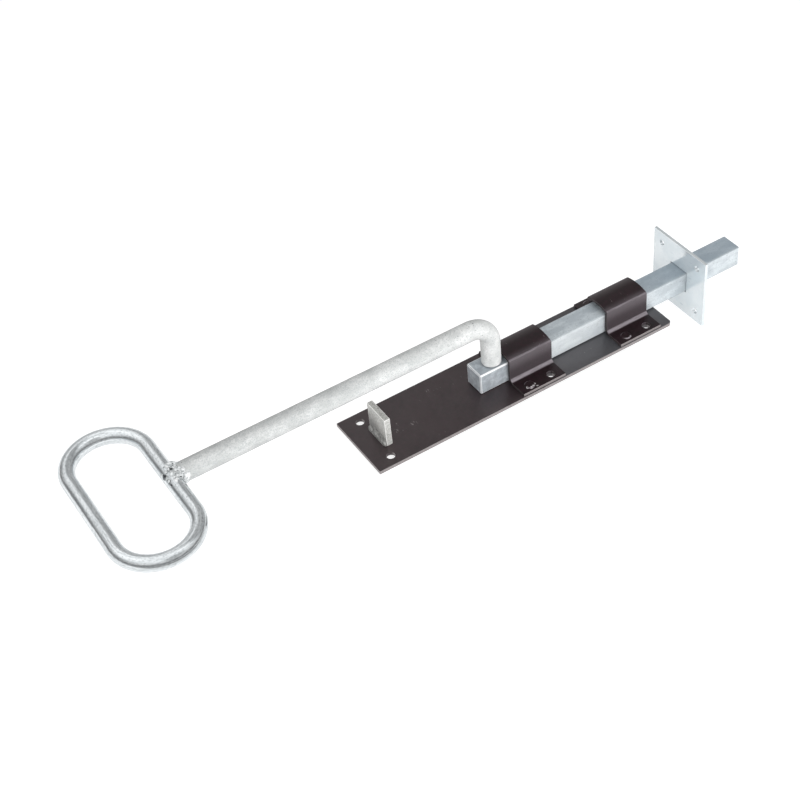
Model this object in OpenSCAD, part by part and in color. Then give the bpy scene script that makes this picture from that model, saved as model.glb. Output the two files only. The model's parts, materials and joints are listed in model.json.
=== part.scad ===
// Bow handle door bolt: a square sliding bar in two strap guides on a back
// plate, pulled by a long round rod with a closed bow at its end, and a loose
// keeper plate threaded on the nose of the bar.
// X runs along the bar towards its nose, Z stands off the plate, and the origin
// is the centre of the plate's back face. The bolt is drawn shot home.

/* [Back plate] */
// Length of the back plate
plate_l = 278; // [252:1:420]
// Width of the back plate
plate_w = 64; // [58:1:100]
// Thickness of the back plate
plate_t = 3; // [2:0.5:6]
// Corner radius at the nose end of the plate
plate_corner_r = 3; // [0.5:0.5:8]
// Distance of the two end screw holes from the handle end of the plate
end_hole_inset = 15.5; // [8:0.5:22]
// Distance between the two end screw holes
end_hole_pitch = 45; // [24:1:48]
// Diameter of all screw holes in the plate and the guide feet
screw_hole_d = 7; // [4:0.5:8]

/* [Square bar] */
// Width across the flats of the bar
bar_w = 19; // [14:0.5:22]
// Length of the bar
bar_l = 260; // [215:1:340]
// Edge chamfer of the bar
bar_edge = 0.8; // [0.3:0.1:1.5]
// Running clearance of the bar on the plate
bar_lift = 0.4; // [0.2:0.1:0.8]

/* [Guides] */
// Length of each guide along the bar
guide_l = 40; // [28:1:50]
// Sheet thickness of the guides
guide_t = 2.5; // [1.5:0.5:3]
// Distance between the middles of the two guides
guide_pitch = 94.6; // [60:0.1:120]
// Distance from the nose end of the plate to the nearer guide
guide_inset = 10.8; // [4:0.1:20]
// Side clearance of the bar in the guides
guide_side_gap = 0.9; // [0.3:0.1:1.5]
// Clearance over the top edges of the bar
guide_top_gap = 1.6; // [0.4:0.1:2.5]
// Rise of the arched top of a guide
guide_rise = 2.2; // [1:0.1:5]
// Outer radius of the top corners of a guide
guide_corner_r = 2; // [0.5:0.1:3]
// Radius of the bend between the wall and the foot of a guide
guide_bend_r = 3.4; // [1:0.1:3.6]
// Distance of a guide foot's edge from the edge of the plate
foot_margin = 0.8; // [0:0.1:2]
// Distance of the foot holes and rivets from the foot's edge
foot_hole_edge = 6.4; // [6:0.1:8]
// Distance between the rivet and the screw hole of one foot
foot_hole_pitch = 20.4; // [16:0.2:22]

/* [Rivets] */
// Shank diameter of a rivet
rivet_d = 6; // [4:0.5:7]
// Head diameter of a rivet
rivet_head_d = 9; // [8:0.5:11]
// Head height of a rivet
rivet_head_h = 1; // [0.5:0.1:2]

/* [Stop tab] */
// Distance of the stop tab from the handle end of the plate
tab_inset = 18.5; // [14:0.5:40]
// Thickness of the stop tab
tab_t = 5; // [3:0.5:8]
// Width of the stop tab
tab_w = 25.5; // [20:0.5:34]
// Height of the stop tab over the plate
tab_h = 26.5; // [16:0.5:34]
// Leg of the weld on the plate at the foot of the tab
tab_weld = 4; // [2:0.5:6]

/* [Handle] */
// Diameter of the handle rod
rod_d = 16; // [12:0.5:18]
// Height of the rod's middle over the top of the bar
rod_rise = 40.5; // [34:0.5:60]
// Length from the upright leg to the middle of the bow's near side
rod_reach = 271.5; // [150:0.5:420]
// Bend radius of the rod at its middle
rod_bend_r = 19; // [14:0.5:22]
// Diameter of the spigot that is set through the bar
spigot_d = 11; // [8:0.5:12]
// Distance of the upright leg from the handle end of the bar
leg_inset = 17; // [12:0.5:24]
// Clearance between the upright leg and the guide when the bolt is home
home_gap = 0.4; // [0.2:0.1:1]
// Diameter of the bow's round bar
bow_d = 12.7; // [9:0.1:16]
// Radius of the bow's round ends at the middle of the bar
bow_r = 30.4; // [24:0.2:45]
// Length of the bow's straight sides
bow_straight = 75; // [40:1:120]
// Leg of the weld between the rod and the bow
bow_weld = 6; // [3:0.5:8]

/* [Keeper] */
// Width and height of the square keeper plate
keeper_w = 64; // [54:1:90]
// Thickness of the keeper plate
keeper_t = 2.5; // [1.5:0.5:5]
// Clearance of the bar in the keeper's square hole
keeper_gap = 0.6; // [0.3:0.1:1.5]
// Diameter of the keeper's screw holes
keeper_hole_d = 5; // [3:0.5:7]
// Distance of the keeper's screw holes from its edges
keeper_hole_inset = 10; // [6:0.5:12]
// Distance of the keeper from the nose end of the plate
keeper_stand = 32.5; // [6:0.5:60]

/* [Hidden] */

$fn = 64;
// Overshoot of cutting solids
cut = 1;

// Places along X
plate_x0 = -plate_l / 2;
plate_x1 = plate_l / 2;
nose_guide_x = plate_x1 - guide_inset - guide_l;
handle_guide_x = nose_guide_x - guide_pitch;
leg_x = handle_guide_x - home_gap - rod_d / 2;
bar_x0 = leg_x - leg_inset;
tab_x = plate_x0 + tab_inset;
bow_side_x = leg_x - rod_reach;
bow_x = bow_side_x - bow_r;
keeper_x = plate_x1 + keeper_stand;

// Heights
bar_z0 = plate_t + bar_lift;
bar_top = bar_z0 + bar_w;
bar_mid = bar_z0 + bar_w / 2;
rod_z = bar_top + rod_rise;

// Guide section, from the clearances round the bar
guide_in = bar_w / 2 + guide_side_gap;
guide_out = guide_in + guide_t;
guide_edge_z = bar_top + guide_top_gap + guide_t;
arch_r = (guide_out * guide_out + guide_rise * guide_rise) / (2 * guide_rise);
arch_z = guide_edge_z + guide_rise - arch_r;
foot_end = plate_w / 2 - foot_margin;
foot_hole_y = foot_end - foot_hole_edge;
bend_y = guide_out + guide_bend_r;
bend_z = plate_t + guide_t + guide_bend_r;
foot_top = plate_t + guide_t;

// Fillet of the arch into the wall: its centre and the way to its upper end
fillet_y = guide_out - guide_corner_r;
fillet_z = arch_z + sqrt(pow(arch_r - guide_corner_r, 2) - pow(fillet_y, 2));
fillet_tilt = atan2(fillet_y, fillet_z - arch_z);

rivet_sink = (rivet_head_d - rivet_d) / 2;
root_gap = 0.4;
rod_end_x = bow_side_x + bow_d / 2 + root_gap;

// A square with one corner of it at the origin cut back by a round
module corner_cut(r) {
    difference() {
        translate([-cut, -cut]) square(r + cut);
        translate([r, r]) circle(r);
    }
}

module plate_outline() {
    difference() {
        translate([plate_x0, -plate_w / 2]) square([plate_l, plate_w]);
        for (side = [0, 1])
            mirror([0, side])
                translate([plate_x1, plate_w / 2]) rotate(180) corner_cut(plate_corner_r);
    }
}

// Middle of one of the foot fasteners: part -1 is the rivet, 1 is the screw hole
function fastener_x(guide_x, part) = guide_x + guide_l / 2 + part * foot_hole_pitch / 2;

module back_plate() {
    color("#3c3636")
        difference() {
            linear_extrude(plate_t) plate_outline();
            for (side = [-1, 1]) {
                translate([plate_x0 + end_hole_inset, side * end_hole_pitch / 2, -cut])
                    cylinder(d = screw_hole_d, h = plate_t + 2 * cut);
                for (guide_x = [handle_guide_x, nose_guide_x]) {
                    translate([fastener_x(guide_x, 1), side * foot_hole_y, -cut])
                        cylinder(d = screw_hole_d, h = plate_t + 2 * cut);
                    translate([fastener_x(guide_x, -1), side * foot_hole_y, 0])
                        rivet_space();
                }
            }
        }
}

// What a rivet fills in the plate: a straight hole, countersunk at the back
module rivet_space() {
    translate([0, 0, -cut]) cylinder(d = rivet_d, h = foot_top + 2 * cut);
    cylinder(d1 = rivet_head_d, d2 = rivet_d, h = rivet_sink);
    translate([0, 0, -cut]) cylinder(d = rivet_head_d, h = cut);
}

// Cross-section of a guide: Y across, Z up, one strap folded to a hat with an arched top
module guide_section() {
    difference() {
        intersection() {
            translate([-guide_out, bend_z]) square([2 * guide_out, guide_edge_z + guide_rise - bend_z]);
            translate([0, arch_z]) circle(arch_r, $fn = 180);
        }
        intersection() {
            translate([-guide_in, bend_z - cut])
                square([2 * guide_in, guide_edge_z + guide_rise - bend_z + cut]);
            translate([0, arch_z]) circle(arch_r - guide_t, $fn = 180);
        }
        for (side = [0, 1]) mirror([side, 0]) top_corner_cut();
    }
    for (side = [0, 1])
        mirror([side, 0]) {
            foot_bend();
            translate([bend_y, plate_t]) square([foot_end - bend_y, guide_t]);
        }
}

// What the fillet of the top corner takes away
module top_corner_cut() {
    far = 3 * guide_corner_r;
    translate([fillet_y, fillet_z])
        difference() {
            polygon([[0, 0], [far, 0], [far, far], [far * sin(fillet_tilt), far * cos(fillet_tilt)]]);
            circle(guide_corner_r);
        }
}

// Quarter bend between the wall and the foot, of the full sheet thickness
module foot_bend() {
    intersection() {
        translate([bend_y, bend_z])
            difference() {
                circle(guide_bend_r + guide_t);
                circle(guide_bend_r);
            }
        translate([guide_in, plate_t]) square([bend_y - guide_in, bend_z - plate_t]);
    }
}

module guide(guide_x) {
    color("#342e30")
        difference() {
            translate([guide_x, 0, 0]) rotate([90, 0, 90]) linear_extrude(guide_l) guide_section();
            for (side = [-1, 1]) {
                translate([fastener_x(guide_x, 1), side * foot_hole_y, plate_t - cut])
                    cylinder(d = screw_hole_d, h = guide_t + 2 * cut);
                translate([fastener_x(guide_x, -1), side * foot_hole_y, plate_t - cut])
                    cylinder(d = rivet_d, h = guide_t + 2 * cut);
            }
        }
}

module handle_guide() {
    guide(handle_guide_x);
}

module nose_guide() {
    guide(nose_guide_x);
}

// Low domed head on the foot, shank, and a tail spread flush into the back of the plate
module rivet(guide_x, side) {
    dome_r = (pow(rivet_head_d / 2, 2) + pow(rivet_head_h, 2)) / (2 * rivet_head_h);
    color("#453f41")
        translate([fastener_x(guide_x, -1), side * foot_hole_y, 0]) {
            cylinder(d = rivet_d, h = foot_top + rivet_head_h / 2);
            cylinder(d1 = rivet_head_d, d2 = rivet_d, h = rivet_sink);
            translate([0, 0, foot_top])
                intersection() {
                    translate([0, 0, rivet_head_h - dome_r]) sphere(dome_r);
                    cylinder(d = rivet_head_d + cut, h = rivet_head_h + cut);
                }
        }
}

module handle_guide_rivet_front() {
    rivet(handle_guide_x, -1);
}

module handle_guide_rivet_rear() {
    rivet(handle_guide_x, 1);
}

module nose_guide_rivet_front() {
    rivet(nose_guide_x, -1);
}

module nose_guide_rivet_rear() {
    rivet(nose_guide_x, 1);
}

module stop_tab() {
    color("#b9bab6")
        translate([tab_x, -tab_w / 2, plate_t]) cube([tab_t, tab_w, tab_h]);
}

// Hollow fillet weld along the outer foot of the tab, twice as high as it is wide
module stop_tab_weld() {
    weld_h = 2 * tab_weld;
    hollow_r = 2 * weld_h;
    hollow_turn = atan2(weld_h, tab_weld);
    half_chord = norm([weld_h, tab_weld]) / 2;
    hollow_out = sqrt(hollow_r * hollow_r - half_chord * half_chord);
    color("#a9aaa6")
        translate([tab_x, tab_w / 2 - 1, plate_t])
            rotate([90, 0, 0])
                linear_extrude(tab_w - 2)
                    difference() {
                        polygon([[0, 0], [0, weld_h], [-tab_weld, 0]]);
                        translate([-tab_weld / 2 - hollow_out * sin(hollow_turn),
                                   weld_h / 2 + hollow_out * cos(hollow_turn)])
                            circle(hollow_r);
                    }
}

module chamfered_square(w, c) {
    h = w / 2;
    polygon([[-h + c, -h], [h - c, -h], [h, -h + c], [h, h - c],
             [h - c, h], [-h + c, h], [-h, h - c], [-h, -h + c]]);
}

module square_bar() {
    color("#ccd5d9")
        difference() {
            translate([bar_x0, 0, bar_mid])
                intersection() {
                    rotate([90, 0, 90]) linear_extrude(bar_l) chamfered_square(bar_w, bar_edge);
                    bar_end_chamfers();
                    rotate([90, 0, 0]) bar_end_chamfers();
                }
            translate([leg_x, 0, bar_z0 - cut]) cylinder(d = spigot_d, h = bar_w + 2 * cut);
        }
}

// Outline of the bar from above, with its four end corners cut
module bar_end_outline() {
    h = bar_w / 2;
    polygon([[bar_edge, -h], [bar_l - bar_edge, -h], [bar_l, -h + bar_edge], [bar_l, h - bar_edge],
             [bar_l - bar_edge, h], [bar_edge, h], [0, h - bar_edge], [0, -h + bar_edge]]);
}

module bar_end_chamfers() {
    translate([0, 0, -bar_w]) linear_extrude(2 * bar_w) bar_end_outline();
}

// Upright leg on the bar, a quarter bend, and the long run back to the bow
module handle_rod() {
    run_x1 = leg_x - rod_bend_r;
    leg_top = rod_z - rod_bend_r;
    color("#c9cccb") {
        translate([leg_x, 0, bar_z0]) cylinder(d = spigot_d, h = bar_w + cut);
        translate([leg_x, 0, bar_top]) cylinder(d = rod_d, h = leg_top - bar_top);
        translate([run_x1, 0, leg_top])
            rotate([90, 0, 0])
                rotate_extrude(angle = 90) translate([rod_bend_r, 0]) circle(d = rod_d);
        translate([rod_end_x, 0, rod_z])
            rotate([0, 90, 0]) cylinder(d = rod_d, h = run_x1 - rod_end_x);
    }
}

// Closed bow of round bar, flat over the plate, its long sides across the rod
module bow_grip() {
    color("#d4d9da")
        translate([bow_x, 0, rod_z]) {
            for (end = [0, 1])
                rotate(180 * end)
                    translate([0, bow_straight / 2, 0])
                        rotate_extrude(angle = 180) translate([bow_r, 0]) circle(d = bow_d);
            for (side = [-1, 1])
                translate([side * bow_r, bow_straight / 2, 0])
                    rotate([90, 0, 0]) cylinder(d = bow_d, h = bow_straight);
        }
}

// Weld round the butted end of the rod: a hollow fillet that spreads along the
// bow, kept low over and under it
module bow_weld_bead() {
    weld_end = bow_d / 2 + bow_weld;
    low = bow_d / 2 + 0.8;
    high = rod_d / 2 + 0.4;
    color("#9fa3a2")
        translate([bow_side_x, 0, rod_z])
            difference() {
                intersection() {
                    rotate([0, 90, 0]) rotate_extrude() weld_profile(weld_end);
                    rotate([90, 0, 0])
                        linear_extrude(4 * rod_d, center = true)
                            polygon([[-cut, -low], [weld_end + cut, -high], [weld_end + cut, high], [-cut, low]]);
                }
                translate([0, bow_straight / 2, 0]) rotate([90, 0, 0]) cylinder(d = bow_d, h = bow_straight);
            }
}

// Half section of that weld: distance from the rod's middle, and way along the rod
module weld_profile(weld_end) {
    thin_r = rod_d / 2 + 0.15;
    hollow_h = bow_weld + 0.6;
    hollow_r = 1.17 * hollow_h;
    flare = hollow_r - sqrt(hollow_r * hollow_r - hollow_h * hollow_h);
    difference() {
        square([thin_r + flare, weld_end]);
        translate([thin_r + hollow_r, weld_end]) circle(hollow_r);
        translate([-cut, bow_d / 2 + root_gap]) square([rod_d / 2 + cut, bow_weld]);
    }
}

// Square plate on the nose of the bar, with a square hole and four screw holes
module keeper_plate() {
    hole_w = bar_w + 2 * keeper_gap;
    hole_at = keeper_w / 2 - keeper_hole_inset;
    color("#dfe8ee")
        translate([keeper_x, 0, bar_mid])
            rotate([90, 0, 90])
                linear_extrude(keeper_t)
                    difference() {
                        square(keeper_w, center = true);
                        square(hole_w, center = true);
                        for (y = [-hole_at, hole_at], z = [-hole_at, hole_at])
                            translate([y, z]) circle(d = keeper_hole_d);
                    }
}

back_plate();
handle_guide();
nose_guide();
handle_guide_rivet_front();
handle_guide_rivet_rear();
nose_guide_rivet_front();
nose_guide_rivet_rear();
stop_tab();
stop_tab_weld();
square_bar();
handle_rod();
bow_grip();
bow_weld_bead();
keeper_plate();
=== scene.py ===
# Bow handle door bolt: finishes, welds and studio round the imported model
import json
import math
import bpy
import bmesh
from mathutils import Matrix, Vector, noise


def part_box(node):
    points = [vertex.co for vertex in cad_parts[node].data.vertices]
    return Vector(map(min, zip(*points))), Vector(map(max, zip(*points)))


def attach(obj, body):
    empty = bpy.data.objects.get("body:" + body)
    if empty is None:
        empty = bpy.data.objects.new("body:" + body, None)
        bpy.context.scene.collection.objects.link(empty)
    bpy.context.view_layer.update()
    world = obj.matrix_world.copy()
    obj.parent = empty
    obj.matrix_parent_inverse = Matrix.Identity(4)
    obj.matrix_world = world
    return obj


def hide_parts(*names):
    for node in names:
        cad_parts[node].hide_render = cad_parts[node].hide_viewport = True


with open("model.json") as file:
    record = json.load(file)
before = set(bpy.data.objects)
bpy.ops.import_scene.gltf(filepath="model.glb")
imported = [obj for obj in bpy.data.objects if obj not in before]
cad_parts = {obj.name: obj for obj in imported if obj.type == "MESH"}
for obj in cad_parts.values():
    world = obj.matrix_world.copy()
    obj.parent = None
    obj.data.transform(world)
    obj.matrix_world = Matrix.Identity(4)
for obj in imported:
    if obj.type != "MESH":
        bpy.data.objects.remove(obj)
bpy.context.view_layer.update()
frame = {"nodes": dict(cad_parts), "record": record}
nodes = frame["nodes"]
scene = bpy.context.scene


def mm(length):
    return length / 1000


def linearColour(hexText):
    # sRGB hex to the linear RGBA that shader sockets take
    parts = [int(hexText[i:i + 2], 16) / 255 for i in (1, 3, 5)]
    return [c / 12.92 if c <= 0.04045 else ((c + 0.055) / 1.055) ** 2.4 for c in parts] + [1.0]


def fillSockets(tree, node, sources):
    # Each source is another node's output, a number, or a colour as hex text
    for key, source in sources.items():
        if isinstance(source, str):
            node.inputs[key].default_value = linearColour(source)
        elif isinstance(source, (int, float)):
            node.inputs[key].default_value = source
        else:
            tree.links.new(source, node.inputs[key])


def addNode(tree, kind, settings=None, sources=None):
    # settings holds the node's own properties by name, and fixed values of its sockets by name or number
    node = tree.nodes.new(kind)
    for key, value in (settings or {}).items():
        if isinstance(key, str) and hasattr(node, key):
            setattr(node, key, value)
        else:
            node.inputs[key].default_value = value
    fillSockets(tree, node, sources or {})
    return node


def overlap(tree, pattern, *others):
    # Only where all of the patterns show. The others may be plain numbers too, which weaken it
    for other in others:
        pattern = addNode(tree, "ShaderNodeMath", {"operation": "MULTIPLY"}, {0: pattern, 1: other}).outputs[0]
    return pattern


def either(tree, pattern, *others):
    # Where any of the patterns shows
    for other in others:
        pattern = addNode(tree, "ShaderNodeMath", {"operation": "MAXIMUM"}, {0: pattern, 1: other}).outputs[0]
    return pattern


def emptyMaterial(name):
    mat = bpy.data.materials.new(name)
    mat.use_nodes = True
    mat.node_tree.nodes.clear()
    return mat, mat.node_tree


# Camera

camera = {
    "place": (-0.5003, -0.7623, 0.8454),            # metres
    "right": (0.842438, -0.532434, -0.082535),      # which ways the picture's right, lower and far sides lie
    "down": (-0.419145, -0.551373, -0.721322),
    "ahead": (0.338549, 0.642263, -0.687665),
    "lens": 70.54,                                  # mm, as the sensor
    "sensor": 36.0,
}


def makeCamera():
    data = bpy.data.cameras.new("photoCamera")
    data.lens = camera["lens"]
    data.sensor_width = camera["sensor"]
    data.sensor_fit = "HORIZONTAL"
    data.clip_start, data.clip_end = 0.05, 60
    held = bpy.data.objects.new("photoCamera", data)
    scene.collection.objects.link(held)
    axes = Matrix([camera["right"], [-c for c in camera["down"]], [-c for c in camera["ahead"]]]).transposed()
    held.matrix_world = Matrix.Translation(camera["place"]) @ axes.to_4x4()
    scene.camera = held


makeCamera()
print("camera placed")


# Studio: pale floor, white background, soft lamps in front, and a room of greys for shiny metal to mirror

studio = {
    "floorBounce": "#f2f2f2",   # what the floor throws back onto the bolt
    "floorSeen": "#b4b4b4",     # the part of the floor's look that takes shadow
    "floorGlow": 0.8,           # the part of its look that doesn't
    "whiteFrom": 0.45,          # metres from the bolt where the floor's look starts to turn plain white
    "whiteAt": 0.95,
    # height as a sine, brightness: dark room behind the table's edge, wide softbox overhead
    "room": [(0.0, 0.87), (0.05, 0.6), (0.12, 0.23), (0.26, 0.18), (0.42, 0.36), (0.6, 0.76), (0.74, 1.05),
             (0.93, 1.2), (1.0, 1.0)],
    # patches of that room: way, grey, and the cosines of the angles off that way where it starts and is full
    "wall": ((0.33, 0.908, 0.259), 0.56, 0.75, 0.9),        # back wall, a little lighter than the dark band
    "far": ((0.682, 0.394, 0.616), 0.41, 0.79, 0.93),       # right-hand back, out of the softbox's reach
    "hood": ((0.15, -0.652, 0.743), 0.52, 0.93, 0.985),     # over the camera, behind the softbox's front edge
    "patchesFrom": 0.06,        # height as a sine, under which far and hood don't show
    "floorHalf": 6.0,           # metres
    "floorGap": 0.1,            # mm under the lowest corner of the bolt
    # share of the floor's white that shiny metal doesn't see: everywhere, and past its edge towards the camera
    "floorLost": (0.13, 0.8),
    "floorEdge": (-0.1, -0.3),  # metres, where that edge starts and is full
    "floorDark": 0.02,          # brightness of what the metal sees there
    "fill": [(0.0, 0.84), (0.5, 0.78), (0.8, 0.46), (1.0, 0.34)],   # what lights the bolt from all round
}


def restPlane():
    # The bolt lies on the handle end of its plate and on the lower edge of its keeper
    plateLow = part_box("back_plate")[0]
    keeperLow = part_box("keeper_plate")[0]
    rise = keeperLow.z - plateLow.z
    run = keeperLow.x - plateLow.x
    return plateLow.z, plateLow.x, math.atan2(rise, run)


def makeFloor():
    lowZ, lowX, lean = restPlane()
    mesh = bpy.data.meshes.new("floor")
    half = studio["floorHalf"]
    corners = [(-half, -half, 0), (half, -half, 0), (half, half, 0), (-half, half, 0)]
    mesh.from_pydata(corners, [], [(0, 1, 2, 3)])
    floor = bpy.data.objects.new("floor", mesh)
    scene.collection.objects.link(floor)
    under = Matrix.Translation((lowX, 0, lowZ - mm(studio["floorGap"])))
    floor.matrix_world = under @ Matrix.Rotation(-lean, 4, "Y")
    mat, tree = emptyMaterial("paleStudioFloor")
    place = addNode(tree, "ShaderNodeTexCoord")
    away = addNode(tree, "ShaderNodeVectorMath", {"operation": "LENGTH"}, {0: place.outputs["Object"]})
    whiter = addNode(tree, "ShaderNodeMapRange",
                     {"interpolation_type": "SMOOTHSTEP", "From Min": studio["whiteFrom"],
                      "From Max": studio["whiteAt"]}, {"Value": away.outputs["Value"]})
    bounce = addNode(tree, "ShaderNodeBsdfDiffuse", {}, {"Color": studio["floorBounce"]})
    paint = addNode(tree, "ShaderNodeBsdfDiffuse", {}, {"Color": studio["floorSeen"]})
    glow = addNode(tree, "ShaderNodeEmission", {"Strength": studio["floorGlow"]})
    lit = addNode(tree, "ShaderNodeAddShader", {}, {0: paint.outputs[0], 1: glow.outputs[0]})
    white = addNode(tree, "ShaderNodeEmission", {"Strength": 1.0})
    shown = addNode(tree, "ShaderNodeMixShader", {},
                    {0: whiter.outputs[0], 1: lit.outputs[0], 2: white.outputs[0]})
    path = addNode(tree, "ShaderNodeLightPath")
    seen = either(tree, path.outputs["Is Camera Ray"], path.outputs["Is Glossy Ray"],
                  path.outputs["Is Transmission Ray"])
    both = addNode(tree, "ShaderNodeMixShader", {}, {0: seen, 1: bounce.outputs[0], 2: shown.outputs[0]})
    towards = addNode(tree, "ShaderNodeSeparateXYZ", {}, {0: place.outputs["Object"]})
    edge, lost = studio["floorEdge"], studio["floorLost"]
    towards = addNode(tree, "ShaderNodeMapRange", {"interpolation_type": "SMOOTHSTEP", "From Min": edge[0],
                                                   "From Max": edge[1], "To Min": lost[0], "To Max": lost[1]},
                      {"Value": towards.outputs["Y"]})
    unseen = overlap(tree, towards.outputs[0], path.outputs["Is Glossy Ray"])
    dark = addNode(tree, "ShaderNodeEmission", {"Strength": studio["floorDark"]})
    both = addNode(tree, "ShaderNodeMixShader", {}, {0: unseen, 1: both.outputs[0], 2: dark.outputs[0]})
    addNode(tree, "ShaderNodeOutputMaterial", {}, {"Surface": both.outputs[0]})
    mesh.materials.append(mat)


def greyRamp(tree, factor, stopsWanted):
    ramp = addNode(tree, "ShaderNodeValToRGB", {}, {"Fac": factor})
    stops = ramp.color_ramp.elements
    while len(stops) < len(stopsWanted):
        stops.new(0.5)
    for stop, (place, grey) in zip(stops, stopsWanted):
        stop.position = place
        stop.color = (grey, grey, grey, 1)
    return ramp.outputs[0]


def roomPatch(tree, ray, way, grey, start, full):
    # A soft round patch of the room, up to the given grey
    turned = addNode(tree, "ShaderNodeVectorMath", {"operation": "DOT_PRODUCT", 1: way}, {0: ray})
    return addNode(tree, "ShaderNodeMapRange", {"interpolation_type": "SMOOTHSTEP", "From Min": start,
                                                "From Max": full, "To Max": grey},
                   {"Value": turned.outputs["Value"]}).outputs[0]


def makeSurroundings():
    world = bpy.data.worlds.new("softRoom")
    scene.world = world
    world.use_nodes = True
    tree = world.node_tree
    tree.nodes.clear()
    place = addNode(tree, "ShaderNodeTexCoord")
    way = addNode(tree, "ShaderNodeSeparateXYZ", {}, {0: place.outputs["Generated"]})
    room, fill = [greyRamp(tree, way.outputs["Z"], studio[name]) for name in ("room", "fill")]
    room = either(tree, room, roomPatch(tree, place.outputs["Generated"], *studio["wall"]))
    above = addNode(tree, "ShaderNodeMath", {"operation": "GREATER_THAN", 1: studio["patchesFrom"]},
                    {0: way.outputs["Z"]})
    for towards, grey, start, full in (studio["far"], studio["hood"]):
        share = roomPatch(tree, place.outputs["Generated"], towards, 1.0, start, full)
        share = overlap(tree, share, above.outputs[0])
        room = addNode(tree, "ShaderNodeMix", {"data_type": "FLOAT"}, {0: share, 2: room, 3: grey}).outputs[0]
    fill = addNode(tree, "ShaderNodeBackground", {}, {"Color": fill})
    mirrored = addNode(tree, "ShaderNodeBackground", {}, {"Color": room})
    white = addNode(tree, "ShaderNodeBackground", {"Strength": 1.0}, {"Color": "#ffffff"})
    path = addNode(tree, "ShaderNodeLightPath")
    lit = addNode(tree, "ShaderNodeMixShader", {}, {0: path.outputs["Is Glossy Ray"], 1: fill.outputs[0],
                                                    2: mirrored.outputs[0]})
    clear = either(tree, path.outputs["Is Camera Ray"], path.outputs["Is Transmission Ray"])
    both = addNode(tree, "ShaderNodeMixShader", {}, {0: clear, 1: lit.outputs[0], 2: white.outputs[0]})
    addNode(tree, "ShaderNodeOutputWorld", {}, {"Surface": both.outputs[0]})


lamps = {
    # name: place, aim, width and height in metres, watts
    "softboxKey": ((0.29, -0.78, 0.95), (-0.02, 0.0, 0.0), 0.7, 0.5, 2.8),
    "softboxFrontLow": ((0.2, -1.32, 0.33), (-0.05, 0.0, 0.03), 1.6, 0.5, 12.3),
    "softboxLeftLow": ((-1.45, -0.35, 0.4), (-0.1, 0.0, 0.03), 0.9, 0.5, 7.5),
}


def makeLamps():
    for name, (place, aim, wide, high, watts) in lamps.items():
        data = bpy.data.lights.new(name, "AREA")
        data.shape = "RECTANGLE"
        data.size, data.size_y = wide, high
        data.energy = watts
        lamp = bpy.data.objects.new(name, data)
        scene.collection.objects.link(lamp)
        lamp.location = place
        lamp.rotation_mode = "QUATERNION"
        lamp.rotation_quaternion = (Vector(aim) - Vector(place)).to_track_quat("-Z", "Y")
        lamp.visible_camera = False
        lamp.visible_glossy = False     # shiny metal mirrors the room, which has the softbox in it


makeFloor()
makeSurroundings()
makeLamps()
scene.view_settings.view_transform = "Standard"
print("studio lit")


# Patterns: everything is worked in millimetres

def inMillimetres(tree, attribute=None):
    # The piece's own coordinates, or the straightened ones that a swept bar carries, in millimetres
    if attribute:
        source = addNode(tree, "ShaderNodeAttribute", {"attribute_name": attribute}).outputs["Vector"]
    else:
        source = addNode(tree, "ShaderNodeTexCoord").outputs["Object"]
    return addNode(tree, "ShaderNodeVectorMath", {"operation": "SCALE", "Scale": 1000.0}, {0: source}).outputs[0]


def facingAxes(tree):
    # How squarely a face looks along X, Y and Z, either way round
    normal = addNode(tree, "ShaderNodeNewGeometry").outputs["Normal"]
    normal = addNode(tree, "ShaderNodeVectorMath", {"operation": "ABSOLUTE"}, {0: normal})
    return addNode(tree, "ShaderNodeSeparateXYZ", {}, {0: normal.outputs[0]})


def patches(tree, place, size, stretch=(1, 1, 1), low=0.4, high=0.6, detail=3.0, shift=0.0, ends=(0.0, 1.0)):
    # Soft patches of the given size in mm, running from one end value to the other
    scale = tuple(1 / (size * s) for s in stretch)
    moved = addNode(tree, "ShaderNodeVectorMath", {"operation": "MULTIPLY_ADD", 1: scale, 2: [shift] * 3},
                    {0: place})
    cloud = addNode(tree, "ShaderNodeTexNoise", {"Scale": 1.0, "Detail": detail, "Roughness": 0.55},
                    {"Vector": moved.outputs[0]})
    return addNode(tree, "ShaderNodeMapRange", {"interpolation_type": "SMOOTHSTEP", "From Min": low,
                                                "From Max": high, "To Min": ends[0], "To Max": ends[1]},
                   {"Value": cloud.outputs["Fac"]}).outputs[0]


def nearPoint(tree, place, point, inner, outer):
    # 1 within the inner distance of a point in mm, 0 beyond the outer
    apart = addNode(tree, "ShaderNodeVectorMath", {"operation": "DISTANCE", 1: point}, {0: place})
    return addNode(tree, "ShaderNodeMapRange", {"interpolation_type": "SMOOTHSTEP", "From Min": outer,
                                                "From Max": inner}, {"Value": apart.outputs["Value"]}).outputs[0]


def laidOver(tree, under, over, *patterns):
    # One colour over another, where all of the patterns show. Each colour is a hex text or made by another node
    mix = addNode(tree, "ShaderNodeMix", {"data_type": "RGBA"}, {0: overlap(tree, *patterns), 6: under, 7: over})
    return mix.outputs[2]


def roughened(tree, heights):
    # Bump from a list of (pattern, height in mm)
    normal = None
    for pattern, height in heights:
        links = {"Height": pattern}
        if normal:
            links["Normal"] = normal
        normal = addNode(tree, "ShaderNodeBump", {"Strength": 1.0, "Distance": mm(height)}, links).outputs[0]
    return normal


def startMaterial(name):
    mat, tree = emptyMaterial(name)
    shader = addNode(tree, "ShaderNodeBsdfPrincipled")
    addNode(tree, "ShaderNodeOutputMaterial", {}, {"Surface": shader.outputs[0]})
    return mat, tree, shader


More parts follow.
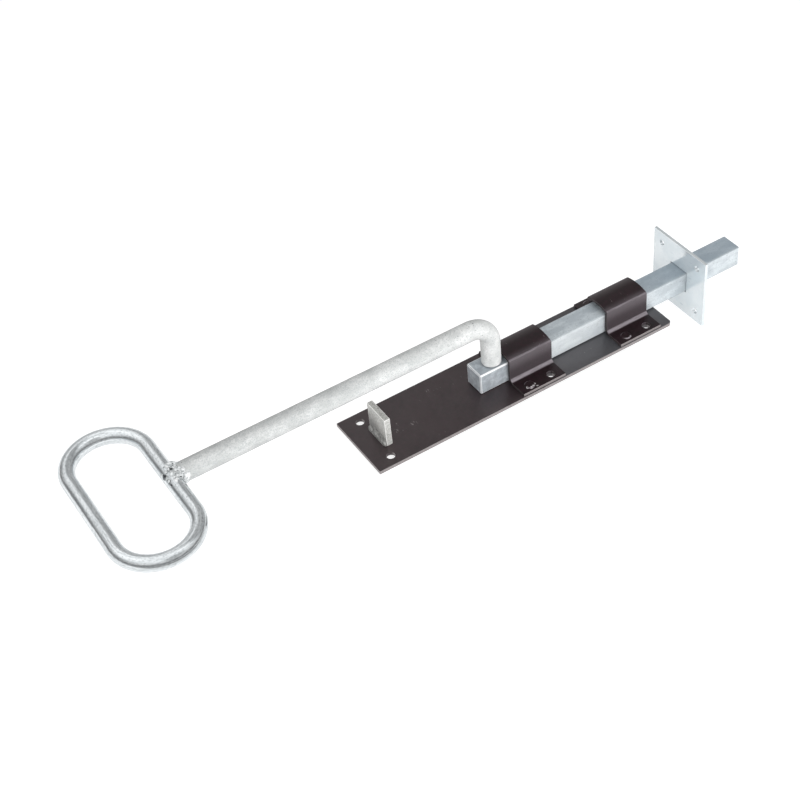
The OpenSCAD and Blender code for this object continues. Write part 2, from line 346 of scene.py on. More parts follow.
def dressMetal(tree, shader, look, tone, rougher, heights):
    # Colour, metal, a roughness that follows a pattern, and a bump for each (pattern, height in mm)
    rough = addNode(tree, "ShaderNodeMapRange", {"To Min": look["rough"][0], "To Max": look["rough"][1]},
                    {"Value": rougher})
    fillSockets(tree, shader, {
        "Base Color": tone,
        "Metallic": look["metallic"],
        "Roughness": rough.outputs[0],
        "Normal": roughened(tree, heights),
    })


# Finishes

plateLook = {
    "name": "satinBlackLacquerOnPlate",
    "dark": "#130d0e",
    "brown": "#1f1617",
    "tint": "#fff3f5",
    "ior": 1.79,
    "faded": 1.0,           # how strongly a painted sheen lightens the end under the guides
    "wall": 0.0,
    "rough": (0.28, 0.38),
    "endCut": 0.8,          # how bare the end faces are
    "burnish": 0.0,
    "rear": 0.0,
}
strapLook = {
    "name": "satinBlackLacquerOnStraps",
    "dark": "#140d0f",
    "brown": "#1d1416",
    "tint": "#fff2f5",
    "ior": 1.39,
    "faded": 0.0,
    "wall": 0.14,           # how strongly a painted highlight lightens the upright faces
    "rough": (0.36, 0.46),
    "endCut": 0.12,
    "burnish": 0.95,        # how strong the painted highlight on the bends is
    "rear": 0.1,            # how strongly a painted sheen lightens the back of the arched top
}
# Wear of the lacquer, and its painted highlights and painted sheen
wearAndPaintedLightLook = {
    "faded": "#3e4043",
    "fadedFrom": -15.0,         # mm along the plate, where the painted sheen starts and is full
    "fadedAt": 40.0,
    "mottle": "#24141a",
    "scuff": "#8d8888",
    "cutSteel": "#8f8a89",      # sheared faces, where the coat is thin
    "edge": "#5c5656",
    "fold": "#9b949a",
    "nick": "#cfcccc",
    "square": 0.8,              # how squarely a face has to look sideways to be a wall or a cut end
    "rimFrom": 29.0,            # mm off the middle, past which walls are sheared edges
    "leaning": (0.15, 0.47),    # slope of a bend where its painted highlight starts and is full, 0.5 being 45 degrees
    "shoulder": (14.0, 18.0),   # mm off the door, where the bends' painted highlight starts to ease and has eased to its share
    "shoulderShare": 0.6,
    "wallTop": 25.0,            # mm off the door, where the walls' painted highlight is strongest
    "wallGrowth": 2.2,          # how many times stronger it is there
    "rear": (1.0, 8.0),         # mm behind the middle, where the arched top's painted sheen starts and is full
    "nicksZ": 6.0,              # mm off the door, as the scuffs' below
    # x, y and reach: light flecks round the handle guide's front rivet
    "nicksAt": [(0.0, -26.8, 1.3), (2.6, -28.6, 1.6), (5.0, -28.0, 1.5), (8.0, -29.4, 1.6), (7.6, -26.2, 1.1),
                (100.2, -28.0, 0.9)],
    "scuffsZ": 3.0,
    "scuffsAt": [(-62.5, 19.7, 2.5), (-90.9, -4.2, 3.5), (-101.1, 2.8, 2.5), (-106.4, -2.7, 2.5)],
}


def blackLacquer(look):
    # Thin satin black lacquer on mild steel: brown-black with a soft broad shine, grey where it is cut or rubbed,
    # lighter with painted highlights on its bends and walls and painted sheen on the plate's nose end and the
    # arched tops' back
    mat, tree, shader = startMaterial(look["name"])
    place = inMillimetres(tree)
    at = addNode(tree, "ShaderNodeSeparateXYZ", {}, {0: place})
    spread = addNode(tree, "ShaderNodeVectorMath", {"operation": "ABSOLUTE"}, {0: place})
    spread = addNode(tree, "ShaderNodeSeparateXYZ", {}, {0: spread.outputs[0]})
    facing = facingAxes(tree)
    side, end = [addNode(tree, "ShaderNodeMath", {"operation": "GREATER_THAN", 1: wearAndPaintedLightLook["square"]},
                         {0: facing.outputs[axis]}).outputs[0] for axis in "YX"]
    rim = addNode(tree, "ShaderNodeMath", {"operation": "GREATER_THAN", 1: wearAndPaintedLightLook["rimFrom"]},
                  {0: spread.outputs["Y"]})
    cut = either(tree, overlap(tree, side, rim.outputs[0]), overlap(tree, end, look["endCut"]))

    cloud = patches(tree, place, 34, low=0.35, high=0.65)
    grain = patches(tree, place, 0.9, low=0.3, high=0.7, detail=2)
    coat = laidOver(tree, look["dark"], look["brown"], cloud)
    mottle = patches(tree, place, 3.2, low=0.4, high=0.62, detail=4, shift=14.0)
    coat = laidOver(tree, coat, wearAndPaintedLightLook["mottle"], mottle, 0.7)
    # Painted sheen: the plate turns lighter towards its nose end, in place of the lacquer's reflection
    faded = addNode(tree, "ShaderNodeMapRange",
                    {"interpolation_type": "SMOOTHSTEP", "From Min": wearAndPaintedLightLook["fadedFrom"],
                     "From Max": wearAndPaintedLightLook["fadedAt"], "To Max": look["faded"]}, {"Value": at.outputs["X"]})
    coat = laidOver(tree, coat, wearAndPaintedLightLook["faded"], faded.outputs[0])

    lines = patches(tree, place, 1.0, stretch=(1, 4, 1), low=0.66, high=0.72, shift=4.0)
    where = patches(tree, place, 24, low=0.56, high=0.62, shift=9.0)
    scuffs = overlap(tree, lines, where, 0.5)
    for number, (x, y, reach) in enumerate(wearAndPaintedLightLook["scuffsAt"]):
        spot = nearPoint(tree, place, (x, y, wearAndPaintedLightLook["scuffsZ"]), 0.5 * reach, reach)
        strokes = patches(tree, place, 1.2, stretch=(1, 3, 1), low=0.54, high=0.6, detail=1,
                          shift=2.0 + 1.3 * number)
        scuffs = either(tree, scuffs, overlap(tree, spot, strokes, 0.5))
    coat = laidOver(tree, coat, wearAndPaintedLightLook["scuff"], scuffs)
    broken = patches(tree, place, 0.9, stretch=(2.5, 1, 1), low=0.44, high=0.54, detail=1, shift=3.4)
    for x, y, reach in wearAndPaintedLightLook["nicksAt"]:
        spot = nearPoint(tree, place, (x, y, wearAndPaintedLightLook["nicksZ"]), 0.4 * reach, reach)
        coat = laidOver(tree, coat, wearAndPaintedLightLook["nick"], spot, broken)
    # Painted sheen: the back of the arched tops lightened with the scuff colour, in place of a reflection
    behind = addNode(tree, "ShaderNodeMapRange",
                     {"interpolation_type": "SMOOTHSTEP", "From Min": wearAndPaintedLightLook["rear"][0],
                      "From Max": wearAndPaintedLightLook["rear"][1], "To Max": look["rear"]}, {"Value": at.outputs["Y"]})
    coat = laidOver(tree, coat, wearAndPaintedLightLook["scuff"], behind.outputs[0], facing.outputs["Z"])
    rubbed = addNode(tree, "ShaderNodeAttribute", {"attribute_name": "edge"}).outputs["Fac"]
    rubbed = overlap(tree, rubbed, patches(tree, place, 3.5, low=0.3, high=0.55, shift=2.0))
    coat = laidOver(tree, coat, wearAndPaintedLightLook["edge"], rubbed, 0.6)

    # Painted highlights: the bends and upper walls lightened and made more metallic, in place of the softboxes'
    # reflection
    slope = overlap(tree, facing.outputs["Y"], facing.outputs["Z"])
    fold = addNode(tree, "ShaderNodeMapRange",
                   {"interpolation_type": "SMOOTHSTEP", "From Min": wearAndPaintedLightLook["leaning"][0],
                    "From Max": wearAndPaintedLightLook["leaning"][1], "To Max": look["burnish"]}, {"Value": slope})
    lowDown = addNode(tree, "ShaderNodeMapRange",
                      {"From Min": wearAndPaintedLightLook["shoulder"][0], "From Max": wearAndPaintedLightLook["shoulder"][1], "To Min": 1.0,
                       "To Max": wearAndPaintedLightLook["shoulderShare"]}, {"Value": spread.outputs["Z"]})
    fold = overlap(tree, fold.outputs[0], lowDown.outputs[0],
                   patches(tree, place, 2.0, stretch=(5, 1, 1), ends=(0.7, 1.0)))
    upper = addNode(tree, "ShaderNodeMapRange",
                    {"interpolation_type": "SMOOTHSTEP", "From Min": wearAndPaintedLightLook["shoulder"][0],
                     "From Max": wearAndPaintedLightLook["wallTop"], "To Min": look["wall"],
                     "To Max": wearAndPaintedLightLook["wallGrowth"] * look["wall"]}, {"Value": spread.outputs["Z"]})
    fold = either(tree, fold, overlap(tree, upper.outputs[0], side))
    coat = laidOver(tree, coat, wearAndPaintedLightLook["fold"], fold)

    shear = patches(tree, place, 1.3, stretch=(1, 1, 3), low=0.3, high=0.7, detail=2, shift=6.0)
    steel = laidOver(tree, wearAndPaintedLightLook["cutSteel"], wearAndPaintedLightLook["scuff"], shear)
    thin = addNode(tree, "ShaderNodeMapRange", {"To Min": 0.75, "To Max": 1.0}, {"Value": shear})
    fillSockets(tree, shader, {
        "Base Color": laidOver(tree, coat, steel, cut, thin.outputs[0]),
        "Metallic": either(tree, overlap(tree, cut, 0.3), overlap(tree, fold, 0.6)),
        "Roughness": patches(tree, place, 5, low=0.3, high=0.7, detail=4, ends=look["rough"]),
        "IOR": look["ior"],
        "Specular Tint": look["tint"],
        "Normal": roughened(tree, [(grain, 0.008), (cloud, 0.2)]),
    })
    return mat


barLook = {
    "light": "#d3dade",
    "grey": "#b6bec3",
    "dark": "#838a8e",
    "dulled": "#959aa1",
    "bluer": "#8b9ead",
    "filed": "#fbfcfd",
    "frontLight": "#f6f9fa",    # painted light on its sides, strongest between the guides
    "metallic": 0.2,
    "rough": (0.36, 0.5),
    "bluerFrom": 60.0,          # mm along the bar, where its upper face starts to turn bluer and darker towards the nose: a bluish tint with painted shade
    "bluerAt": 150.0,
    "bluerShare": (0.12, 0.55),
    "frontFrom": 110.0,         # mm along the bar, where the painted light on its sides starts towards the handle
    "frontAt": 55.0,
    "frontShare": 0.36,
    "dullFrom": 6.0,            # mm along the bar, where its handle end starts to turn darker and then is darkest
    "dullAt": -6.0,
    "leaning": (0.1, 0.4),      # slope of a broken edge where its painted shade starts and is full, 0.5 being 45 degrees
}


def brightZinc():
    # Clear-passivated zinc plate on cold-drawn bar: blue-white, half mirror and half bloom, with faint draw
    # lines; painted light on its sides, painted shade on its upper face and broken edges, painted highlights on
    # the handle end's edges
    look = barLook
    mat, tree, shader = startMaterial("brightZincOnDrawnBar")
    place = inMillimetres(tree)
    along = addNode(tree, "ShaderNodeSeparateXYZ", {}, {0: place}).outputs["X"]
    facing = facingAxes(tree)
    clouds = patches(tree, place, 8, stretch=(2.2, 1, 1), low=0.38, high=0.62, detail=4)
    bloom = patches(tree, place, 1.7, low=0.35, high=0.65, detail=3, shift=5.0)
    specks = patches(tree, place, 1.3, low=0.64, high=0.72, detail=1, shift=8.0)
    lines = patches(tree, place, 0.55, stretch=(50, 1, 1), low=0.3, high=0.7, detail=2)
    tone = laidOver(tree, look["light"], look["grey"], clouds)
    tone = laidOver(tree, tone, look["grey"], bloom, 0.35)
    tone = laidOver(tree, tone, look["dark"], specks, 0.5)

    dull = addNode(tree, "ShaderNodeMapRange",
                   {"interpolation_type": "SMOOTHSTEP", "From Min": look["dullFrom"], "From Max": look["dullAt"]},
                   {"Value": along})
    uneven = patches(tree, place, 4.5, low=0.35, high=0.65, shift=1.0, ends=(0.3, 0.8))
    tone = laidOver(tree, tone, look["dulled"], dull.outputs[0], uneven)
    # Bluish tint with painted shade: the upper face darker towards the nose
    bluer = addNode(tree, "ShaderNodeMapRange",
                    {"interpolation_type": "SMOOTHSTEP", "From Min": look["bluerFrom"],
                     "From Max": look["bluerAt"], "To Min": look["bluerShare"][0],
                     "To Max": look["bluerShare"][1]}, {"Value": along})
    tone = laidOver(tree, tone, look["bluer"], bluer.outputs[0], facing.outputs["Z"])
    # Painted light: the sides lightened between the guides, fading out where the nose guide shades them
    front = addNode(tree, "ShaderNodeMapRange",
                    {"interpolation_type": "SMOOTHSTEP", "From Min": look["frontFrom"],
                     "From Max": look["frontAt"], "To Max": look["frontShare"]}, {"Value": along})
    inside = addNode(tree, "ShaderNodeMath", {"operation": "GREATER_THAN", 1: 0.0}, {0: along})
    tone = laidOver(tree, tone, look["frontLight"], front.outputs[0], inside.outputs[0], facing.outputs["Y"])

    # Painted shade on the broken edges
    slope = overlap(tree, facing.outputs["Y"], facing.outputs["Z"])
    slope = addNode(tree, "ShaderNodeMapRange", {"From Min": look["leaning"][0], "From Max": look["leaning"][1]},
                    {"Value": slope}).outputs[0]
    tone = laidOver(tree, tone, look["dark"], slope, 0.5)
    # Painted highlight: the handle end's edges lightened
    edge = addNode(tree, "ShaderNodeAttribute", {"attribute_name": "edge"}).outputs["Fac"]
    atEnd = addNode(tree, "ShaderNodeMath", {"operation": "LESS_THAN", 1: look["dullFrom"]}, {0: along})
    tone = laidOver(tree, tone, look["filed"], either(tree, edge, slope), atEnd.outputs[0], 0.85)
    dressMetal(tree, shader, look, tone, bloom, [(lines, 0.01), (bloom, 0.015)])
    return mat


rodLook = {
    "light": "#e2e3e2",
    "grey": "#c4c6c5",
    "speck": "#62676a",
    "grain": "#8f979b",
    "grainy": 0.46,
    "ring": "#55585a",
    "ringReach": (1.3, 0.3),    # mm up from the foot, where the painted shade in the crevice starts and is full
    "ringShare": 0.8,
    "metallic": 0.04,
    "rough": (0.58, 0.72),
    "scaleFrom": 22.0,          # mm along the bar where the bend's scale marks start and end
    "scaleTo": 90.0,
    "scaleShare": (0.25, 0.9),  # how marked it is far from the bend and at it
    "sootFrom": 110.0,          # mm along the bar where it starts to grey towards the weld
    "sootAt": 210.0,
    "soot": "#979a9a",
}


def dullZinc():
    # The same plating over hot-rolled scale: whiter, mottled and nearly matt, with dark pits round the bend and
    # painted shade at its foot
    look = rodLook
    mat, tree, shader = startMaterial("dullZincOnHotRolledBar")
    place = inMillimetres(tree, "straightened")
    along = addNode(tree, "ShaderNodeSeparateXYZ", {}, {0: place}).outputs["X"]
    clouds = patches(tree, place, 9, stretch=(1.8, 1, 1), low=0.3, high=0.7, detail=5)
    mottle = patches(tree, place, 2.1, low=0.36, high=0.66, detail=4, shift=3.0)
    tone = laidOver(tree, look["light"], look["grey"], clouds)
    tone = laidOver(tree, tone, look["grey"], mottle, 0.5)
    grain = patches(tree, place, 0.9, low=0.46, high=0.66, detail=3, shift=9.0)
    run = addNode(tree, "ShaderNodeMapRange", {"From Min": look["scaleFrom"], "From Max": look["sootFrom"],
                                               "To Min": 0.3}, {"Value": along})
    tone = laidOver(tree, tone, look["grain"], grain, look["grainy"], run.outputs[0])

    pits = patches(tree, place, 1.1, low=0.64, high=0.7, detail=2, shift=7.0)
    middle = (look["scaleFrom"] + look["scaleTo"]) / 2
    reach = (look["scaleTo"] - look["scaleFrom"]) / 2
    apart = addNode(tree, "ShaderNodeMath", {"operation": "SUBTRACT", 1: middle}, {0: along})
    apart = addNode(tree, "ShaderNodeMath", {"operation": "ABSOLUTE"}, {0: apart.outputs[0]})
    marked = addNode(tree, "ShaderNodeMapRange",
                     {"From Min": 1.6 * reach, "From Max": 0.6 * reach, "To Min": look["scaleShare"][0],
                      "To Max": look["scaleShare"][1]}, {"Value": apart.outputs[0]})
    tone = laidOver(tree, tone, look["speck"], pits, marked.outputs[0])
    soot = addNode(tree, "ShaderNodeMapRange",
                   {"interpolation_type": "SMOOTHSTEP", "From Min": look["sootFrom"], "From Max": look["sootAt"]},
                   {"Value": along})
    streaks = patches(tree, place, 1.4, stretch=(4, 1, 1), low=0.35, high=0.65, detail=4, shift=12.0,
                      ends=(0.14, 0.32))
    tone = laidOver(tree, tone, look["soot"], soot.outputs[0], streaks)
    # Painted shade: a dark band where the rod stands in the bar
    foot = addNode(tree, "ShaderNodeMapRange",
                   {"interpolation_type": "SMOOTHSTEP", "From Min": look["ringReach"][0],
                    "From Max": look["ringReach"][1], "To Max": look["ringShare"]}, {"Value": along})
    tone = laidOver(tree, tone, look["ring"], foot.outputs[0])
    dressMetal(tree, shader, look, tone, mottle, [(mottle, 0.03), (pits, -0.03), (grain, -0.012)])
    return mat


bowLook = {
    "light": "#eff3f5",
    "grey": "#c3c9cc",
    "grain": "#949a9f",
    "metallic": 0.92,
    "rough": (0.1, 0.2),
    # slag left beside the weld: point, inner and outer reach
    "burns": [((-291.4, -1.6, 67.6), 1.6, 3.0), ((-289.8, -7.8, 68.6), 0.5, 1.5),
              ((-281.0, -13.5, 66.4), 0.6, 1.8), ((-281.4, -17.0, 66.8), 0.4, 1.5),
              ((-290.6, -11.6, 67.6), 0.3, 1.2)],
    "slag": "#34383b",
    "speck": "#7d8486",
}


def bowZinc():
    # Zinc plate on thinner bright bar, bent cold: smooth enough to show the room in long streaks
    look = bowLook
    mat, tree, shader = startMaterial("smoothZincOnBentBar")
    place = inMillimetres(tree, "straightened")
    streaks = patches(tree, place, 1.6, stretch=(18, 1, 1), low=0.36, high=0.64, detail=3)
    mottle = patches(tree, place, 2.4, low=0.36, high=0.66, detail=3, shift=4.0)
    specks = patches(tree, place, 1.2, low=0.66, high=0.73, detail=1, shift=2.0)
    grain = patches(tree, place, 0.9, stretch=(2.5, 1, 1), low=0.48, high=0.64, detail=3, shift=9.0)
    tone = laidOver(tree, look["light"], look["grey"], streaks, 0.6)
    tone = laidOver(tree, tone, look["grain"], grain, 0.36)
    tone = laidOver(tree, tone, look["speck"], specks, 0.5)
    black = patches(tree, place, 1.2, low=0.36, high=0.46, shift=5.0)
    where = inMillimetres(tree)
    for point, inner, outer in look["burns"]:
        tone = laidOver(tree, tone, look["slag"], nearPoint(tree, where, point, inner, outer), black)
    dressMetal(tree, shader, look, tone, mottle, [(streaks, 0.01), (mottle, 0.008)])
    return mat


keeperLook = {
    "light": "#eaf0f3",
    "grey": "#e0e8ec",
    "mark": "#a8b2ba",
    "edge": "#fbfdfe",
    "metallic": 0.62,
    "rough": (0.1, 0.17),
}


def keeperZinc():
    # Zinc plate on cold-rolled sheet: pale, bluish and smoother than the rest, with rolling and handling marks
    # and a painted highlight on its edges
    look = keeperLook
    mat, tree, shader = startMaterial("blueZincOnColdRolledSheet")
    place = inMillimetres(tree)
    clouds = patches(tree, place, 16, low=0.38, high=0.62, detail=4)
    rolled = patches(tree, place, 0.7, stretch=(1, 1, 22), low=0.3, high=0.7, detail=2, shift=3.0)
    marks = patches(tree, place, 0.9, stretch=(1, 9, 1.5), low=0.66, high=0.72, shift=6.0)
    tone = laidOver(tree, look["light"], look["grey"], clouds)
    tone = laidOver(tree, tone, look["mark"], marks, 0.5)
    # Painted highlight: the sheared edges lightened
    sheared = addNode(tree, "ShaderNodeAttribute", {"attribute_name": "edge"}).outputs["Fac"]
    tone = laidOver(tree, tone, look["edge"], sheared, 0.8)
    dressMetal(tree, shader, look, tone, clouds, [(rolled, 0.004), (clouds, 0.04)])
    return mat


tabLook = {
    "light": "#dcdcd9",
    "grey": "#aeaeaa",
    "pit": "#5a5856",
    "heated": "#777674",
    "heatedAt": ((-121.0, 8.0, 2.0), 4.0, 27.0),    # point, inner and outer reach
    "sawnTop": "#8d8c88",
    "filed": "#fafaf8",
    "metallic": 0.3,
    "rough": (0.45, 0.6),
}


def sawnSteel():
    # Flat bar sawn to length and left bare: grey and grainy, with saw lines up its faces and a few rust-dark
    # pits; painted shade darkens its top and the weld side near its foot, painted highlights lighten its edges
    look = tabLook
    mat, tree, shader = startMaterial("bareSawnSteel")
    place = inMillimetres(tree)
    lines = patches(tree, place, 0.8, stretch=(1, 1, 14), low=0.34, high=0.66, detail=3)
    grain = patches(tree, place, 1.2, low=0.35, high=0.65, detail=4, shift=4.0)
    pits = patches(tree, place, 1.5, low=0.66, high=0.72, detail=1, shift=11.0)
    tone = laidOver(tree, look["light"], look["grey"], grain, 0.7)
    tone = laidOver(tree, tone, look["grey"], lines, 0.3)
    tone = laidOver(tree, tone, look["pit"], pits, 0.6)
    facing = addNode(tree, "ShaderNodeNewGeometry").outputs["Normal"]
    facing = addNode(tree, "ShaderNodeSeparateXYZ", {}, {0: facing})
    # Sawn marks with painted shade: the top face darker
    top = addNode(tree, "ShaderNodeMath", {"operation": "GREATER_THAN", 1: 0.8}, {0: facing.outputs["Z"]})
    sawn = addNode(tree, "ShaderNodeMapRange", {"To Min": 0.2, "To Max": 0.55}, {"Value": grain})
    tone = laidOver(tree, tone, look["sawnTop"], top.outputs[0], sawn.outputs[0])
    # Painted shade: the weld side darker towards its foot by the weld
    weldSide = addNode(tree, "ShaderNodeMath", {"operation": "LESS_THAN", 1: -0.5}, {0: facing.outputs["X"]})
    shadeNearWeld = nearPoint(tree, place, *look["heatedAt"])
    tone = laidOver(tree, tone, look["heated"], shadeNearWeld, 0.75, weldSide.outputs[0])
    # Painted highlight: the edges lightened
    edge = addNode(tree, "ShaderNodeAttribute", {"attribute_name": "edge"}).outputs["Fac"]
    tone = laidOver(tree, tone, look["filed"], edge, 0.85)
    dressMetal(tree, shader, look, tone, grain, [(lines, 0.015), (grain, 0.03)])
    return mat


platedWeldLook = {
    "name": "platedStickWeld",
    "light": "#eef1f2",
    "grey": "#b9bebf",
    "burnt": "#2c3033",
    "bright": "#f6f8f9",
    "metallic": 0.45,
    "brightMetallic": 0.1,
    "slag": 0.9,
    "cleanBelow": (57.0, 61.0),     # mm off the door, where the slag thins out and is back in full
    "rough": (0.14, 0.32),
    # point, inner and outer reach
    "burns": [((-291.2, -1.8, 68.0), 1.6, 3.0), ((-284.2, 0.6, 70.0), 0.6, 2.1),
              ((-279.9, -6.8, 66.0), 0.7, 2.0), ((-281.5, -13.0, 67.2), 0.8, 2.3),
              ((-289.6, -6.4, 69.2), 0.3, 1.0), ((-284.8, -6.8, 70.3), 0.2, 0.9)],
    # painted highlights: a few drops whiter and less metallic
    "brights": [((-276.3, -8.2, 65.2), 1.8, 3.6), ((-286.0, -10.8, 70.0), 1.0, 2.8),
                ((-277.2, -4.6, 70.4), 0.8, 2.4), ((-287.8, 1.2, 70.2), 0.4, 1.5)],
}
bareWeldLook = {
    "name": "bareStickWeld",
    "light": "#aaaaa7",
    "grey": "#81817f",
    "burnt": "#343332",
    "metallic": 0.3,
    "slag": 0.3,
    "cleanBelow": (0.0, 1.0),
    "rough": (0.35, 0.5),
    "burns": [],
    "brights": [],
}


def weldMetal(look):
    # Stick weld, plated over or left as run: rippled drops with slag-dark hollows between them, and on the plated
    # one a few painted highlights
    mat, tree, shader = startMaterial(look["name"])
    place = inMillimetres(tree)
    drops = patches(tree, place, 2.6, low=0.38, high=0.62, detail=1)
    slag = patches(tree, place, 1.5, low=0.58, high=0.64, detail=2, shift=6.0)
    hollow = addNode(tree, "ShaderNodeAttribute", {"attribute_name": "hollow"}).outputs["Fac"]
    dirt = either(tree, overlap(tree, slag, look["slag"]), hollow)
    for point, inner, outer in look["burns"]:
        dirt = either(tree, dirt, nearPoint(tree, place, point, inner, outer))
    height = addNode(tree, "ShaderNodeSeparateXYZ", {}, {0: place}).outputs["Z"]
    low, high = look["cleanBelow"]
    upper = addNode(tree, "ShaderNodeMapRange", {"From Min": low, "From Max": high, "To Min": 0.15},
                    {"Value": height})
    tone = laidOver(tree, look["light"], look["grey"], drops)
    tone = laidOver(tree, tone, look["burnt"], dirt, upper.outputs[0])
    # Painted highlights on a few drops
    ragged = patches(tree, place, 1.5, low=0.34, high=0.5, detail=2, shift=3.0)
    glintSpots = [overlap(tree, nearPoint(tree, place, point, inner, outer), ragged)
             for point, inner, outer in look["brights"]]
    for spot in glintSpots:
        tone = laidOver(tree, tone, look["bright"], spot)
    dressMetal(tree, shader, look, tone, drops, [(drops, 0.04)])
    if glintSpots:
        metallic = addNode(tree, "ShaderNodeMapRange",
                           {"To Min": look["metallic"], "To Max": look["brightMetallic"]},
                           {"Value": either(tree, *glintSpots)})
        fillSockets(tree, shader, {"Metallic": metallic.outputs[0]})
    return mat


finishes = {
    "plateLacquer": blackLacquer(plateLook),
    "strapLacquer": blackLacquer(strapLook),
    "bar": brightZinc(),
    "rod": dullZinc(),
    "bow": bowZinc(),
    "keeper": keeperZinc(),
    "tab": sawnSteel(),
    "bowWeld": weldMetal(platedWeldLook),
    "tabWeld": weldMetal(bareWeldLook),
}
print("finishes made")


# Pieces

def meshFrom(form, name):
    mesh = bpy.data.meshes.new(name)
    form.to_mesh(mesh)
    form.free()
    return mesh


def bridgeRows(form, rows, closed=False):
    # Smooth four-sided faces between each ring of corners and the next
    pairs = list(zip(rows, rows[1:])) + ([(rows[-1], rows[0])] if closed else [])
    for near, far in pairs:
        for k in range(len(near)):
            after = (k + 1) % len(near)
            form.faces.new((near[k], near[after], far[after], far[k])).smooth = True


def addPiece(name, mesh, material, replaced, body):
    piece = bpy.data.objects.new(name, mesh)
    scene.collection.objects.link(piece)
    mesh.materials.clear()
    mesh.materials.append(material)
    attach(piece, body)
    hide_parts(replaced)
    return piece


bodyOf = {name: body for body, names in frame["record"]["behaviour"]["bodies"].items() for name in names}

softEdges = {
    # node: piece name, edge radius in mm, finish
    "back_plate": ("shearedBackPlate", 0.35, "plateLacquer"),
    "handle_guide": ("strapGuideHandleEnd", 0.3, "strapLacquer"),
    "nose_guide": ("strapGuideNoseEnd", 0.3, "strapLacquer"),
    "stop_tab": ("sawnStopTab", 0.45, "tab"),
    "square_bar": ("drawnSquareBar", 0.3, "bar"),
    "keeper_plate": ("punchedKeeper", 0.3, "keeper"),
}
edgeFinding = {
    "merged": 0.002,        # mm within which corners are one
    "flat": 0.6,            # degrees under which faces are joined
    "sharp": 30.0,          # degrees over which an edge is broken
}


def softEdged(node, name, radius, material):
    # A copy of a CAD node with its sharp edges broken, and the broken edges marked for wear
    form = bmesh.new()
    form.from_mesh(nodes[node].data)
    bmesh.ops.remove_doubles(form, verts=form.verts, dist=mm(edgeFinding["merged"]))
    bmesh.ops.dissolve_limit(form, angle_limit=math.radians(edgeFinding["flat"]), use_dissolve_boundaries=False,
                             verts=form.verts, edges=form.edges, delimit={"NORMAL"})
    sharp = [edge for edge in form.edges
             if len(edge.link_faces) == 2 and edge.calc_face_angle(0) > math.radians(edgeFinding["sharp"])]
    edgeMark = form.faces.layers.float.new("edge")
    made = bmesh.ops.bevel(form, geom=sharp, offset=mm(radius), offset_type="OFFSET", segments=2, profile=0.5,
                           affect="EDGES", clamp_overlap=True)
    for face in form.faces:
        face.smooth = True
    for face in made["faces"]:
        face[edgeMark] = 1.0
    piece = addPiece(name, meshFrom(form, name), material, node, bodyOf[node])
    even = piece.modifiers.new("evenShading", "WEIGHTED_NORMAL")
    even.keep_sharp = True


for node, (name, radius, finish) in softEdges.items():
    softEdged(node, name, radius, finishes[finish])
print("plate, straps, tab, bar and keeper edged")


# Swept bars

def sweep(name, rings, sides, closed, flatWay):
    # rings: (middle, tangent, radius, distance along); flatWay is normal to the plane that the bar is bent in
    form = bmesh.new()
    straight = form.verts.layers.float_vector.new("straightened")
    rows = []
    for middle, tangent, radius, distance in rings:
        across = tangent.cross(flatWay).normalized()
        row = []
        for k in range(sides):
            turn = 2 * math.pi * k / sides
            way = across * math.cos(turn) + flatWay * math.sin(turn)
            local = Vector((distance, radius * math.cos(turn), radius * math.sin(turn)))
            vert = form.verts.new(middle + way * (radius - dentAt(local)))
            vert[straight] = local
            row.append(vert)
        rows.append(row)
    bridgeRows(form, rows, closed)
    if not closed:
        form.faces.new(list(reversed(rows[0])))
        form.faces.new(rows[-1])
    bmesh.ops.recalc_face_normals(form, faces=form.faces)
    return meshFrom(form, name)


dents = [(14.0, 0.05, 0.0), (3.2, 0.022, 5.0)]      # size and depth in mm, and the pattern's shift


def dentAt(local):
    # Shallow unevenness of rolled bar, only ever inwards
    return sum(mm(depth) * (1 + noise.noise(local / mm(size) + Vector((shift, shift, shift))))
               for size, depth, shift in dents)


rodShape = {
    "radius": 8.0,
    "spigotRadius": 5.5,
    "spigotNeck": 0.3,
    "legX": -14.8,
    "barLow": 3.4,
    "barTop": 22.4,
    "runZ": 62.9,
    "bendRadius": 19.0,
    "bendSteps": 28,
    "endX": -279.55,
    "footChamfer": 0.7,
    "footGap": 0.02,        # the foot's rim stands just clear of the bar's face, so that the two don't flicker
    "step": 1.2,
    "sides": 72,
}


